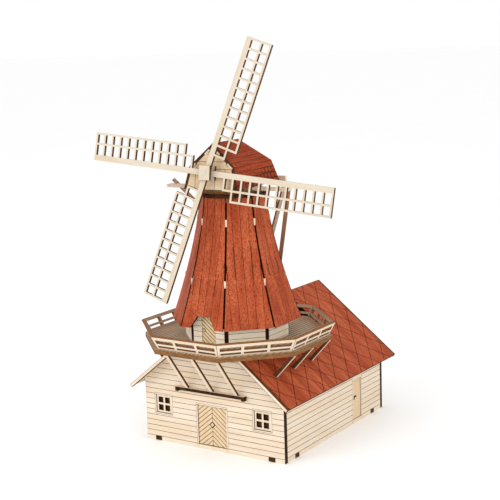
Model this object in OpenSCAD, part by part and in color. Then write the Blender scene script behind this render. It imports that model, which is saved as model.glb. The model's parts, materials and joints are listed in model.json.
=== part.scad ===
// Traditional windmill: a plywood model of a gallery smock mill on a barn.
// Millimetres. +Z up, the barn's double door faces -Y, the single door faces +X.
// The tower stands on the Z axis; the floor plate's underside is at Z = 0.

/* [Node] */

/* [Sheets] */
// thickness of the structural sheet (walls, floor, deck)
sheet_t = 3; // [2:0.5:4]
// thickness of the thin sheet (roofs, panels, sails, rails)
thin_t = 2; // [1:0.5:3]
// thickness of the tower's radial ribs
rib_t = 2.6; // [2:0.2:3]
// thickness of the barn's roof sheets
roof_t = 1.5; // [1:0.1:3]

/* [Barn] */
// width of the barn over its long walls
barn_w = 108; // [90:1:130]
// distance from the tower axis to the front wall's face
barn_front = 31.5; // [30:0.5:40]
// distance from the tower axis to the rear wall's face
barn_rear = 101.5; // [85:0.5:130]
// height of the ridge
ridge_z = 87; // [84:0.5:95]
// fall of the roof per millimetre outwards
roof_fall = 0.797; // [0.7:0.01:0.9]
// how far the roof stands out past the long walls
eave_out = 7.4; // [4:0.2:12]
// how far the roof stands out past the gable walls
verge_out = 7.3; // [4:0.1:10]
// width of the double door opening
door_w = 22; // [16:0.5:30]
// height of the double door's lintel above the floor's underside
door_top = 29.2; // [24:0.2:33]
// side of the square front windows
window_side = 12; // [8:0.5:16]
// distance from the barn's middle to a window's middle
window_x = 38.6; // [28:0.2:44]
// how far the front door and windows stand to the left of the barn's middle
front_shift = 0.6; // [0:0.1:4]
// height of a window's middle
window_z = 25.7; // [20:0.1:30]
// width of the single door in the right wall
side_door_w = 10.6; // [7:0.2:14]
// distance from the tower axis to the single door's middle
side_door_y = 63.8; // [0:0.2:85]

/* [Gallery] */
// distance from the tower axis to a flat side of the deck
deck_r = 58; // [50:0.5:66]
// height of the deck's underside
deck_z = 68; // [66:0.5:74]
// height of a rail measured along its slope
rail_h = 9.3; // [6:0.1:12]
// lean of the rails outwards, degrees
rail_lean = 27; // [0:1:35]
// distance from the deck's edge to the foot of a rail
rail_inset = 2; // [0.5:0.1:6]
// width of a rail's bars
rail_bar = 1.5; // [1:0.1:2.4]

/* [Tower] */
// distance from the axis to a flat side of the tower's base
base_r = 32.2; // [28:0.2:36]
// distance from the axis to the foot of the flared panels
flare_r = 39.8; // [34:0.2:46]
// distance from the axis to the top of the flared panels
top_r = 20.3; // [16:0.1:26]
// height of the panels' feet above the deck
flare_up = 11.6; // [8:0.2:16]
// height of the panels' tops above the deck
tower_h = 92.6; // [80:0.2:120]
// how sharply the flare curves
flare_power = 1.4; // [1:0.05:2]
// open joint between neighbouring panels
slit_w = 1.2; // [0.4:0.1:2]
// width of the door onto the gallery
gdoor_w = 10.5; // [8:0.5:13]
// height of the door onto the gallery
gdoor_h = 22; // [16:0.5:24]
// height of the lower inner frame above the panels' feet
frame_lower_up = 26.4; // [16:0.2:34]
// depth of the upper inner frame below the panels' tops
frame_upper_down = 17.1; // [10:0.2:26]

/* [Cap] */
// angle by which the cap is turned from the barn's axis at rest, degrees
cap_turn_deg = 4; // [-20:1:20]
// half width of the cap at its eaves
cap_eave_x = 19.3; // [16:0.1:24]
// half width of the cap where the slope breaks
cap_break_x = 16.3; // [12:0.1:20]
// height of the break above the eaves
cap_break_h = 14; // [8:0.2:20]
// height of the cap's ridge above its eaves
cap_ridge_h = 28.8; // [20:0.2:40]
// backward lean of the cap's front gable, degrees
gable_lean = 10; // [0:1:16]

/* [Sails] */
// height of the hub above the cap's eaves
hub_up = 10.8; // [6:0.2:16]
// distance from the tower axis to the plane where the two stocks meet
hub_y = 30.4; // [28:0.1:40]
// upward tilt of the windshaft, degrees
shaft_tilt = 8; // [0:1:15]
// length of a sail from the hub to its tip
sail_len = 87.4; // [70:0.2:92]
// width of a stock
stock_w = 3.6; // [2.4:0.2:6]
// distance from a stock's middle to the sail's far edge
sail_w = 16.4; // [10:0.2:22]
// turn of the first stock from upright at rest, degrees
stock_deg = 18.4; // [0:0.1:90]
// angle from the first stock to the second, degrees
stock_cross = 77; // [60:1:90]
// cells along the inner column of a sail
sail_cells = 12; // [6:1:14]
// width of a sail's bars
sail_bar = 1.3; // [1:0.1:2]

/* [Hidden] */

tiny = 0.05;                       // assembly gap between glued pieces
tan8 = tan(22.5);
cos8 = cos(22.5);
half_w = barn_w / 2;
deck_top = deck_z + sheet_t;
flare_z = deck_top + flare_up;                          // feet of the flared panels
top_z = deck_top + tower_h;                             // tops of the flared panels
roof_slope = atan(roof_fall);
roof_drop = roof_t / cos(roof_slope);                   // sheet measured upright
eave_x = half_w + eave_out;
roof_y0 = -barn_front - verge_out;
roof_y1 = barn_rear + verge_out;
deck_cut_x = (ridge_z - deck_z) / roof_fall;            // where the roof meets the deck
panel_run = thin_t / cos(12);                           // panel thickness measured level
flare_steps = 8;
wood = [0.92, 0.83, 0.66];
red = [0.72, 0.33, 0.22];
burnt = [0.45, 0.30, 0.17];

function roof_z(x) = ridge_z - roof_fall * abs(x);
function under_z(x) = roof_z(x) - roof_drop - tiny;
function tower_r(z) = top_r + (flare_r - top_r) * pow((top_z - z) / (top_z - flare_z), flare_power);
function flare_level(i) = flare_z + (top_z - flare_z) * i / flare_steps;

// a polygon drawn in X and Z, drawn out along Y
module along_y(y0, y1) { translate([0, y1, 0]) rotate([90, 0, 0]) linear_extrude(y1 - y0) children(); }
// a polygon drawn in Y and Z, drawn out along X about the middle
module along_x(w) { translate([-w / 2, 0, 0]) rotate([90, 0, 90]) linear_extrude(w) children(); }
module block(x0, x1, y0, y1, z0, z1) { translate([x0, y0, z0]) cube([x1 - x0, y1 - y0, z1 - z0]); }
module octagon(r) { rotate(22.5) circle(r = r / cos8, $fn = 8); }
// the eighth of a turn that faces -Y, held back from its neighbours by half of gap
module eighth(gap, z0, z1) {
    d = gap / 2 / sin(22.5);
    translate([0, -d, z0]) linear_extrude(z1 - z0) polygon([[0, 0], [-90 * tan8, -90], [90 * tan8, -90]]);
}
module both_sides() { children(); mirror([1, 0, 0]) children(); }

// ---------------------------------------------------------------- barn
tab_w = 5;
function front_tabs() = [-44.5 * half_w / 54, 44.5 * half_w / 54];
function side_tabs() = [-17, barn_rear - 15.5];

module floor_tabs() {
    for (x = front_tabs()) {
        block(x - tab_w / 2, x + tab_w / 2, -barn_front, -barn_front + sheet_t + 1, 0, sheet_t);
        block(x - tab_w / 2, x + tab_w / 2, barn_rear - sheet_t - 1, barn_rear, 0, sheet_t);
    }
    for (y = side_tabs()) both_sides()
        block(half_w - sheet_t - 1, half_w, y - tab_w / 2, y + tab_w / 2, 0, sheet_t);
}
module barn_floor() color(wood) union() {
    block(-half_w + sheet_t + tiny, half_w - sheet_t - tiny,
          -barn_front + sheet_t + tiny, barn_rear - sheet_t - tiny, 0, sheet_t);
    floor_tabs();
}
module floor_slots() {
    for (x = front_tabs()) for (y = [-barn_front, barn_rear])
        block(x - tab_w / 2 - tiny, x + tab_w / 2 + tiny, y - sheet_t - 1, y + sheet_t + 1, -1, sheet_t + tiny);
    for (y = side_tabs()) both_sides()
        block(half_w - sheet_t - 1, half_w + 1, y - tab_w / 2 - tiny, y + tab_w / 2 + tiny, -1, sheet_t + tiny);
}
// gable outline under the roof; top cuts it off level
module gable_shape(top) {
    x_top = min(half_w, max(0, (under_z(0) - top) / roof_fall));
    polygon(x_top > 0
        ? [[-half_w, 0], [half_w, 0], [half_w, under_z(half_w)], [x_top, top], [-x_top, top], [-half_w, under_z(half_w)]]
        : [[-half_w, 0], [half_w, 0], [half_w, under_z(half_w)], [0, under_z(0)], [-half_w, under_z(half_w)]]);
}
module front_wall() color(wood) difference() {
    along_y(-barn_front, -barn_front + sheet_t) gable_shape(deck_z - tiny);
    translate([-front_shift, 0, 0]) {
        block(-door_w / 2, door_w / 2, -barn_front - 1, -barn_front + sheet_t + 1, sheet_t, door_top);
        for (s = [-1, 1])
            block(s * window_x - window_side / 2, s * window_x + window_side / 2, -barn_front - 1,
                  -barn_front + sheet_t + 1, window_z - window_side / 2, window_z + window_side / 2);
    }
    floor_slots();
}
module rear_wall() color(wood) difference() {
    along_y(barn_rear - sheet_t, barn_rear) gable_shape(ridge_z + 10);
    floor_slots();
}
module side_wall_shape() {
    x0 = half_w - sheet_t;
    polygon([[x0, 0], [half_w, 0], [half_w, under_z(half_w)], [x0, under_z(x0)]]);
}
module long_wall() difference() {
    along_y(-barn_front + sheet_t + tiny, barn_rear - sheet_t - tiny) side_wall_shape();
    floor_slots();
}
module left_wall() color(wood) mirror([1, 0, 0]) long_wall();
side_door_top = 30;
module right_wall() color(wood) difference() {
    long_wall();
    block(half_w - sheet_t - 1, half_w + 1, side_door_y - side_door_w / 2, side_door_y + side_door_w / 2,
          sheet_t, side_door_top);
}
door_inset = 0.5;
leaf_gap = 0.25;
module double_door() color(wood) translate([-front_shift, 0, 0])
    for (s = [-1, 1]) mirror([s < 0 ? 1 : 0, 0, 0])
        block(leaf_gap / 2, door_w / 2 - tiny, -barn_front + door_inset, -barn_front + door_inset + thin_t,
              sheet_t + tiny, door_top - tiny);
module side_door() color(wood) union() {
    block(half_w - door_inset - thin_t, half_w - door_inset, side_door_y - side_door_w / 2 + tiny,
          side_door_y + side_door_w / 2 - tiny, sheet_t + tiny, side_door_top - tiny);
    translate([half_w - door_inset - 0.5, side_door_y - side_door_w / 2 + 1.6, 17.5]) rotate([0, 90, 0])
        cylinder(h = 1.6, r = 0.7, $fn = 24);
}
pane_bar = 1.3;
module window_sash() {
    out = window_side - 2 * tiny;
    pane = (out - 3 * pane_bar) / 2;
    difference() {
        block(-out / 2, out / 2, -barn_front + 0.4, -barn_front + 0.4 + thin_t, -out / 2, out / 2);
        for (sx = [-1, 1]) for (sz = [-1, 1])
            translate([sx * (pane + pane_bar) / 2, -barn_front, sz * (pane + pane_bar) / 2])
                cube([pane, 4 * sheet_t, pane], center = true);
    }
}
module window_sashes() color(wood) for (s = [-1, 1]) translate([s * window_x - front_shift, 0, window_z]) window_sash();

// roof outline t thick from x0 down to the eave, which is cut square to the slope
module slope_shape(x0, t) polygon([[x0, roof_z(x0)], [eave_x, roof_z(eave_x)],
    [eave_x - t * sin(roof_slope), roof_z(eave_x) - t * cos(roof_slope)], [x0, roof_z(x0) - t / cos(roof_slope)]]);
// the ridge stops behind the gallery, whose rail leans out over the notch
notch_y = deck_r + rail_h * sin(rail_lean) - rail_inset + 2;
module roof_sheet() difference() {
    along_y(roof_y0 + thin_t + tiny, roof_y1 - thin_t - tiny) slope_shape(tiny / 2, roof_t);
    block(-1, deck_cut_x + tiny, roof_y0 - 1, notch_y, 40, 120);
}
module barn_roof_right() color(red) roof_sheet();
module barn_roof_left() color(red) mirror([1, 0, 0]) roof_sheet();
barge_h = 2.2;
module barge(x0, y0) along_y(y0, y0 + thin_t) slope_shape(x0, barge_h);
module front_barge_boards() color(wood) both_sides() barge(deck_cut_x + 2 * tiny, roof_y0);
module rear_barge_boards() color(wood) both_sides() barge(tiny / 2, roof_y1 - thin_t);

// ---------------------------------------------------------------- gallery
ledger_z = 38.5;
ledger_x = 26.8;
ledger_out = 3.4;
module ledger() color(wood) union() {
    block(-ledger_x, ledger_x, -barn_front - ledger_out, -barn_front - tiny, ledger_z, ledger_z + thin_t);
    for (s = [-1, 1])
        block(s * (ledger_x - 1.1) - 1.1, s * (ledger_x - 1.1) + 1.1, -barn_front - ledger_out, -barn_front - tiny, ledger_z - 1, ledger_z + 1);
}
strut_w = 2.4;
strut_run = 2;
module front_struts() color(wood) for (x = [-17.8, 1.5, 20.7]) translate([x, 0, 0]) {
    y0 = -barn_front - 1;
    z0 = ledger_z + thin_t + tiny;
    y1 = -deck_r + 4.6;
    along_x(strut_w) polygon([[y0, z0], [y0 - strut_run, z0], [y1 - strut_run, deck_z - tiny], [y1, deck_z - tiny]]);
}
module side_strut(y) {
    x1 = deck_r - 0.2 - strut_run;
    x0 = (x1 - deck_z + ridge_z) / (1 + roof_fall);     // rises at 45 degrees
    along_y(y - strut_w / 2, y + strut_w / 2) polygon([[x0, roof_z(x0) + tiny], [x0 + strut_run, roof_z(x0 + strut_run) + tiny],
        [x1 + strut_run, deck_z - tiny], [x1, deck_z - tiny]]);
}
module right_struts() color(wood) for (y = [-22, 0, 22]) side_strut(y);
module left_struts() color(wood) mirror([1, 0, 0]) for (y = [-22, 0, 22]) side_strut(y);

module gallery_deck() color(wood) translate([0, 0, deck_z]) linear_extrude(sheet_t) octagon(deck_r);
rail_post_x = 8.2;
rail_open = [[0.14, 0.30], [0.46, 0.77]];    // rows of openings as shares of the rail's height
// half width of a rail's outer face at a height along its slope
function rail_half(s) = (deck_r - rail_inset + s * sin(rail_lean)) * tan8 - rail_bar - 0.2;
module rail_panel() intersection() {
    translate([0, -deck_r + rail_inset, deck_top + tiny]) rotate([rail_lean, 0, 0]) translate([0, thin_t, 0]) rotate([90, 0, 0])
        linear_extrude(thin_t) difference() {
            translate([-deck_r, -2]) square([2 * deck_r, rail_h + 2]);
            for (row = rail_open) difference() {
                s = row * rail_h;
                polygon([[-rail_half(s[0]), s[0]], [rail_half(s[0]), s[0]], [rail_half(s[1]), s[1]], [-rail_half(s[1]), s[1]]]);
                both_posts() square([1.2 * rail_bar, 3 * rail_h], center = true);
            }
        }
    eighth(0.3, deck_top + tiny, deck_top + 20);
}
module both_posts() { for (s = [-1, 1]) translate([s * rail_post_x, 0]) children(); }
module rail(k) color(wood) rotate([0, 0, 45 * k]) rail_panel();
module rail_front() rail(0);
module rail_front_right() rail(1);
module rail_right() rail(2);
module rail_rear_right() rail(3);
module rail_rear() rail(4);
module rail_rear_left() rail(5);
module rail_left() rail(6);
module rail_front_left() rail(7);

// ---------------------------------------------------------------- tower
// height at which the flared panels' inner faces come down to the base walls
meet_z = top_z - (top_z - flare_z) * pow((base_r + panel_run + 0.2 - top_r) / (flare_r - top_r), 1 / flare_power);
base_top = meet_z - 2.2;
module base_wall() intersection() {
    block(-base_r, base_r, -base_r, -base_r + thin_t, deck_top + tiny, base_top);
    eighth(rib_t + 0.1, deck_z, base_top + 1);
}
module tower_base_walls() color(wood) difference() {
    for (k = [0 : 7]) rotate([0, 0, 45 * k]) base_wall();
    block(-gdoor_w / 2, gdoor_w / 2, -base_r - 1, -base_r + thin_t + 1, deck_z, deck_top + gdoor_h);
}
module gallery_door() color(wood)
    block(-gdoor_w / 2 + tiny, gdoor_w / 2 - tiny, -base_r + 0.4, -base_r + thin_t, deck_top + tiny, deck_top + gdoor_h - tiny);

rib_in = 12;
frame_lower_z = flare_z + frame_lower_up;
frame_upper_z = top_z - frame_upper_down;
function rib_r(z) = (tower_r(z) - panel_run - rib_t / 2 * sin(22.5) - tiny) / cos8;
function frame_slot(z) = (rib_in + 4 + rib_r(z)) / 2;
rib_step_z = flare_z + 1;
rib_top_z = top_z - sheet_t - tiny;
module rib_shape() {
    base_out = (base_r - 0.4) / cos8;
    n = flare_steps * 2;
    polygon(concat([[rib_in, deck_top + tiny], [base_out, deck_top + tiny], [base_out, rib_step_z]],
        [for (i = [0 : n]) let (z = rib_step_z + (rib_top_z - rib_step_z) * i / n) [rib_r(z), z]],
        [[rib_in, rib_top_z]]));
}
module rib() difference() {
    rotate([90, 0, 0]) translate([0, 0, -rib_t / 2]) linear_extrude(rib_t) rib_shape();
    for (z = [frame_lower_z, frame_upper_z])
        block(frame_slot(z) - tiny, 60, -rib_t, rib_t, z - tiny, z + sheet_t + tiny);
}
module tower_ribs() color(wood) for (k = [0 : 7]) rotate([0, 0, 22.5 + 45 * k]) rib();
// level ring that the ribs slide into; its corner tabs show in the open joints
module tower_frame(z) {
    r = tower_r(z + sheet_t) - panel_run - 0.1;
    translate([0, 0, z]) linear_extrude(sheet_t) difference() {
        union() {
            octagon(r);
            for (k = [0 : 7]) rotate(22.5 + 45 * k) translate([0, -slit_w / 2 + 0.1]) square([tower_r(z + sheet_t) / cos8 - 0.3, slit_w - 0.2]);
        }
        circle(r = rib_in + 2, $fn = 64);
        for (k = [0 : 7]) rotate(22.5 + 45 * k) translate([0, -rib_t / 2 - tiny]) square([frame_slot(z), rib_t + 2 * tiny]);
    }
}
module tower_frame_lower() color(wood) tower_frame(frame_lower_z);
module tower_frame_upper() color(wood) tower_frame(frame_upper_z);
pivot_r = 8;
pivot_gap = 0.05;
module tower_top_plate() color(wood) translate([0, 0, top_z - sheet_t]) linear_extrude(sheet_t) difference() {
    octagon(top_r - panel_run - 0.1);
    circle(r = pivot_r + 0.5, $fn = 64);
}
module panel_body() intersection() {
    along_x(2 * flare_r) polygon(concat(
        [for (i = [0 : flare_steps]) [-tower_r(flare_level(i)), flare_level(i)]],
        [for (i = [flare_steps : -1 : 0]) [-tower_r(flare_level(i)) + panel_run, flare_level(i)]]));
    eighth(slit_w, flare_z - 1, top_z + 1);
}
module tower_panels() color(red) for (k = [1, 2, 3, 5, 6, 7]) rotate([0, 0, 45 * k]) panel_body();
arch_w = 20;
arch_top_w = 9.6;
arch_h = 7.4;
module tower_panel_front() color(red) difference() {
    panel_body();
    along_y(-60, 0) polygon([[-arch_w / 2, flare_z - 1], [arch_w / 2, flare_z - 1], [arch_top_w / 2, flare_z + arch_h], [-arch_top_w / 2, flare_z + arch_h]]);
}
module tower_panel_rear() color(red) rotate([0, 0, 180]) panel_body();
curb_r = top_r + 2;
module curb_ring() color(burnt) translate([0, 0, top_z]) difference() {
    cylinder(h = thin_t, r = curb_r, $fn = 96);
    translate([0, 0, -1]) cylinder(h = thin_t + 2, r = pivot_r + pivot_gap, $fn = 96);
}

// ---------------------------------------------------------------- cap
plate_z = top_z + thin_t + 0.1;        // underside of the turntable
beam_z = plate_z + thin_t;             // underside of the cross beams
eave_z = beam_z + thin_t;              // underside of the cap's floor and lower edge of its sides
cap_break_z = eave_z + cap_break_h;
cap_ridge_z = eave_z + cap_ridge_h;
hub_z = eave_z + hub_up;
gable_y = -hub_y + 4.6;                // front gable at the hub's height
rear_ridge_y = 9;
rear_break_y = 23.6;
rear_eave_y = 28.6;
module on_cap() rotate([0, 0, cap_turn_deg]) children();
function gable_at(z) = gable_y + (z - hub_z) * tan(gable_lean);
// length of the cap seen from the side, drawn in by t from its front and rear
module cap_side_view(t = 0) {
    f = t / cos(gable_lean);
    polygon([[gable_at(eave_z) + f, eave_z], [gable_at(cap_ridge_z + 5) + f, cap_ridge_z + 5],
        [rear_ridge_y - 5 - t * 1.42, cap_ridge_z + 5], [rear_break_y - t * 1.42, cap_break_z],
        [rear_eave_y - t * 1.06, eave_z]]);
}
up_slope = atan2(cap_ridge_h - cap_break_h, cap_break_x);
low_slope = atan2(cap_break_h, cap_eave_x - cap_break_x);
bend = (low_slope - up_slope) / 2;      // half of the turn at the break
function break_in(t) = [cap_break_x - t / cos(bend) * sin(up_slope + bend), cap_break_z - t / cos(bend) * cos(up_slope + bend)];
function ridge_in(t) = cap_ridge_z - t / cos(up_slope);
function eave_in(t) = cap_eave_x - t / sin(low_slope);
module cap_section(t) {
    b = break_in(t);
    polygon([[0, ridge_in(t)], b, [eave_in(t), eave_z], [-eave_in(t), eave_z], [-b[0], b[1]]]);
}
module upper_sheet() intersection() {
    along_y(-60, 60) polygon([[tiny / 2, ridge_in(0)], [cap_break_x - tiny / 2, cap_break_z + tiny / 2],
        [break_in(thin_t)[0] - tiny / 2, break_in(thin_t)[1] + tiny / 2], [tiny / 2, ridge_in(thin_t)]]);
    along_x(80) cap_side_view();
}
module lower_sheet() intersection() {
    along_y(-60, 60) polygon([[cap_break_x, cap_break_z - tiny / 2], [cap_eave_x, eave_z], [eave_in(thin_t), eave_z],
        [break_in(thin_t)[0], break_in(thin_t)[1] - tiny / 2]]);
    along_x(80) cap_side_view();
}
module cap_roof_right() color(red) on_cap() upper_sheet();
module cap_roof_left() color(red) on_cap() mirror([1, 0, 0]) upper_sheet();
module cap_side_right() color(red) on_cap() lower_sheet();
module cap_side_left() color(red) on_cap() mirror([1, 0, 0]) lower_sheet();
module shaft_axis() translate([0, -hub_y, hub_z]) rotate([90 - shaft_tilt, 0, 0]) children();
shaft_r = 1.25;
module shaft_hole() shaft_axis() translate([0, 0, -60]) cylinder(h = 100, r = shaft_r + 0.05, $fn = 48);
module cap_front_gable() color(wood) on_cap() difference() {
    intersection() {
        along_y(-60, 60) cap_section(thin_t + tiny);
        along_x(80) polygon([[gable_at(eave_z), eave_z], [gable_at(cap_ridge_z), cap_ridge_z],
            [gable_at(cap_ridge_z) + thin_t / cos(gable_lean), cap_ridge_z], [gable_at(eave_z) + thin_t / cos(gable_lean), eave_z]]);
    }
    shaft_hole();
}
module cap_rear_slope() color(red) on_cap() intersection() {
    along_y(-60, 60) cap_section(thin_t + tiny);
    along_x(80) polygon([[rear_break_y, cap_break_z + tiny], [rear_ridge_y - 5, cap_ridge_z + 5],
        [rear_ridge_y - 5 - thin_t * 1.42, cap_ridge_z + 5], [rear_break_y - thin_t * 1.42, cap_break_z + tiny]]);
}
module cap_rear_wall() color(wood) on_cap() intersection() {
    along_y(-60, 60) cap_section(thin_t + tiny);
    along_x(80) polygon([[rear_break_y, cap_break_z], [rear_eave_y, eave_z],
        [rear_eave_y - thin_t * 1.06, eave_z], [rear_break_y - thin_t * 1.06, cap_break_z]]);
}
// inner face of the rear wall at a height above the eaves
function rear_wall_in(h) = rear_eave_y - thin_t * 1.06 - (rear_eave_y - rear_break_y) * h / cap_break_h;
module cap_floor() color(burnt) on_cap() block(-eave_in(thin_t) + 0.6, eave_in(thin_t) - 0.6,
    gable_at(eave_z + thin_t) + thin_t * 1.02 + tiny, rear_wall_in(thin_t) - tiny, eave_z, eave_z + thin_t);
module cap_turntable() color(burnt) on_cap() union() {
    translate([0, 0, plate_z]) cylinder(h = thin_t, r = cap_eave_x + 0.7, $fn = 96);
    translate([0, 0, top_z - sheet_t + 0.5]) cylinder(h = sheet_t + thin_t, r = pivot_r, $fn = 96);
}
beam_x = 44.5;
beam_y = -9;
beam_w = 6;
short_beam_x = 23.5;
module long_cross_beam() color(burnt) on_cap() block(-beam_x, beam_x, beam_y, beam_y + beam_w, beam_z, eave_z - tiny);
module short_cross_beam() color(wood) on_cap() block(-short_beam_x, short_beam_x, rear_eave_y + tiny, rear_eave_y + thin_t + tiny, beam_z, eave_z + 3);
tail_y = 56;
tail_z = deck_top + 25;
tail_w = 3;
// a straight bar of square section between two points of the cap's frame
module bar(a, b, w, h) {
    d = b - a;
    len = norm(d);
    translate(a) rotate([0, atan2(norm([d[0], d[1]]), d[2]), atan2(d[1], d[0])]) translate([-h / 2, -w / 2, 0]) cube([h, w, len]);
}
pole_top = [0, rear_eave_y + thin_t + tail_w / 2 + 0.4, beam_z + 4];
pole_end = [0, tail_y, tail_z];
module tail_pole() color(wood) on_cap() bar(pole_top, pole_end, tail_w, tail_w);
brace_w = 2.4;
module long_braces() color(wood) on_cap() both_sides()
    bar([beam_x - 1.6, beam_y + beam_w, beam_z + 4.5], [tail_w / 2 + brace_w / 2 + 0.2, tail_y - 2.2, tail_z + 3.6], brace_w, thin_t);
module short_braces() color(wood) on_cap() both_sides()
    bar([short_beam_x - 1.6, rear_eave_y + thin_t + 1.5, beam_z + 1], [tail_w / 2 + brace_w / 2 + 0.05, tail_y - 10, tail_z + 33], brace_w, thin_t);
bearing_y = 14;
module shaft_bearing() color(wood) on_cap() difference() {
    translate([0, bearing_y, 0]) block(-6, 6, -thin_t / 2, thin_t / 2, eave_z + thin_t + tiny, hub_z + 1);
    shaft_hole();
}

// ---------------------------------------------------------------- sails
shaft_back = 48;
hub_w = 7.6;
hub_h = 9;
module on_rotor() on_cap() shaft_axis() children();
module windshaft() color(wood) on_rotor() translate([0, 0, -shaft_back]) cylinder(h = shaft_back + 2 * thin_t + 0.2, r = shaft_r, $fn = 48);
module hub_plates() color(wood) on_rotor() for (z = [thin_t + tiny, -2 * thin_t - tiny])
    translate([0, 0, z]) linear_extrude(thin_t) difference() {
        square([hub_w, hub_h], center = true);
        circle(r = shaft_r, $fn = 48);
    }
pitch = (sail_len - sail_bar) / 13.9;
col_w = (sail_w - stock_w / 2 - sail_bar) / 2;
// one sail, pointing up the page, with its lattice to the right
module sail_shape() {
    x0 = stock_w / 2;
    for (j = [0 : sail_cells]) translate([x0 - 0.1, sail_len - sail_bar - j * pitch])
        square([(j < sail_cells ? 2 : 1) * col_w + sail_bar + 0.1, sail_bar]);
    translate([x0 + col_w, sail_len - sail_cells * pitch - sail_bar]) square([sail_bar, sail_cells * pitch + sail_bar]);
    translate([x0 + 2 * col_w, sail_len - (sail_cells - 1) * pitch - sail_bar]) square([sail_bar, (sail_cells - 1) * pitch + sail_bar]);
}
module sail_pair() difference() {
    union() {
        translate([-stock_w / 2, -sail_len]) square([stock_w, 2 * sail_len]);
        sail_shape();
        rotate(180) sail_shape();
    }
    circle(r = shaft_r, $fn = 48);
}
module sails_upright() color(wood) on_rotor() rotate([0, 0, -stock_deg]) linear_extrude(thin_t) sail_pair();
module sails_level() color(wood) on_rotor() rotate([0, 0, -stock_deg - stock_cross]) translate([0, 0, -thin_t]) linear_extrude(thin_t - tiny) sail_pair();

barn_floor();
front_wall();
rear_wall();
left_wall();
right_wall();
double_door();
side_door();
window_sashes();
barn_roof_left();
barn_roof_right();
front_barge_boards();
rear_barge_boards();
ledger();
front_struts();
left_struts();
right_struts();
gallery_deck();
rail_front();
rail_front_right();
rail_right();
rail_rear_right();
rail_rear();
rail_rear_left();
rail_left();
rail_front_left();
tower_base_walls();
gallery_door();
tower_ribs();
tower_frame_lower();
tower_frame_upper();
tower_top_plate();
tower_panels();
tower_panel_front();
tower_panel_rear();
curb_ring();
cap_turntable();
cap_floor();
cap_front_gable();
cap_rear_wall();
cap_rear_slope();
cap_roof_left();
cap_roof_right();
cap_side_left();
cap_side_right();
long_cross_beam();
short_cross_beam();
tail_pole();
long_braces();
short_braces();
shaft_bearing();
windshaft();
hub_plates();
sails_upright();
sails_level();
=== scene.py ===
"""Looks for a plywood model windmill: engraved boards and tiles, wood finishes, floor, light and camera."""
import json
import math

import bmesh
import bpy
from mathutils import Matrix, Vector


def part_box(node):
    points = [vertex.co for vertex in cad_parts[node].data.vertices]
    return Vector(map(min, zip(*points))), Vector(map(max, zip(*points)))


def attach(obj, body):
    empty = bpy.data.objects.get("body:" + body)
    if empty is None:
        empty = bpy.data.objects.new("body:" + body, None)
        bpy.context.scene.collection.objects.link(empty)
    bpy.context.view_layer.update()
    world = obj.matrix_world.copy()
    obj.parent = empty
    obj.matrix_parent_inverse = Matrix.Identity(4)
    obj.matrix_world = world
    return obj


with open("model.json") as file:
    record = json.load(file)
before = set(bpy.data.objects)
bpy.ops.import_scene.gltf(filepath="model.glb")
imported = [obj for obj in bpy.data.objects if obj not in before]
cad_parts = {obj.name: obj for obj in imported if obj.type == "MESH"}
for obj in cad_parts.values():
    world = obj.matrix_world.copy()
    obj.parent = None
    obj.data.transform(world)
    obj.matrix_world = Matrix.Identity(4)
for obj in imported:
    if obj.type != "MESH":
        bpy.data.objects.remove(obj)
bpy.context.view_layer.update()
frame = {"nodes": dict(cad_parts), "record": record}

bl_info = {
    "name": "Plywood windmill",
    "version": (1, 0, 0),
    "blender": (4, 5, 0),
    "location": "3D View > Sidebar > Windmill",
    "description": "Engraves, finishes and lights a plywood model windmill",
    "category": "Object",
}

MM = 0.001
UP = Vector((0, 0, 1))
FRONT = Vector((0, -1, 0))
REAR = Vector((0, 1, 0))
RIGHT = Vector((1, 0, 0))
LEFT = Vector((-1, 0, 0))
EIGHTH = math.radians(45)

# Noise of the wood, in turns per millimetre along the grain, across it and through the sheet.
EVEN = (1, 1, 1)
BANDS = (0.014, 0.13, 0.13)
FIBRES = (0.09, 1.5, 1.5)
PORES = (0.42, 3.1, 3.1)
PLIES = (0.30, 0.30, 1.3)
STREAKS = (0.05, 2.4, 2.4)
FLECKS = (0.60, 1.35, 1.35)
RINGS = (0.2, 1.6, 1.6)
MOTTLE = (0.004, 0.004, 0.004)
# Ends of the blends on the cosine between a face and a direction.
FACE_COS = (0.62, 0.82)       # a sheet's face against its cut edges
BACK_COS = (0.6, 0.8)         # a sheet's back
GROOVE_COS = (0.86, 0.96)     # bottom of an engraved line
RADIAL_COS = (0.50, 0.66)     # face of a curved panel against its edges
END_COS = (0.8, 0.95)         # sawn end of a shaft
# Shares of red, green and blue that make a tint's variants.
WARM = (0.96, 0.92, 0.86)
PALE = (1.02, 1.03, 1.05)
LIGHT_STAIN = (1.34, 1.95, 2.50)
DEEP_STAIN = (0.64, 0.47, 0.42)
MATT = 0.07                   # mirror share of every finish: bare and stained wood hardly shine
BUMP_DEPTH = 0.1 * MM
SAME_WAY = 0.99               # cosine above which two faces look the same way
SKIN_REACH = 0.8 * MM         # how far under its outermost point a sheet's outer face may lie
FLAT = math.radians(0.5)      # angle below which neighbouring faces are merged
SINGLE = 10.0                 # pitch so wide that one line is left
WELD = 1e-7                   # distance below which vertices are one
BODIES = frame["record"]["behaviour"]["bodies"]


def joint(name):
    """Returns a joint of the record by its name."""
    return next(j for j in frame["record"]["behaviour"]["joints"] if j["name"] == name)


SHAFT = Vector(joint("rotor_spin")["axis"]).normalized()
CAP_TURN = math.atan2(SHAFT.x, -SHAFT.y)
CAP_FRONT = Matrix.Rotation(CAP_TURN, 3, "Z") @ FRONT
CAP_RIGHT = Matrix.Rotation(CAP_TURN, 3, "Z") @ RIGHT


# ---------------- sizes and colours a user may change
def length(name, description, millimetres):
    """Returns a length property with its default."""
    return bpy.props.FloatProperty(
        name=name, description=description, unit="LENGTH", default=millimetres * MM)


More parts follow.
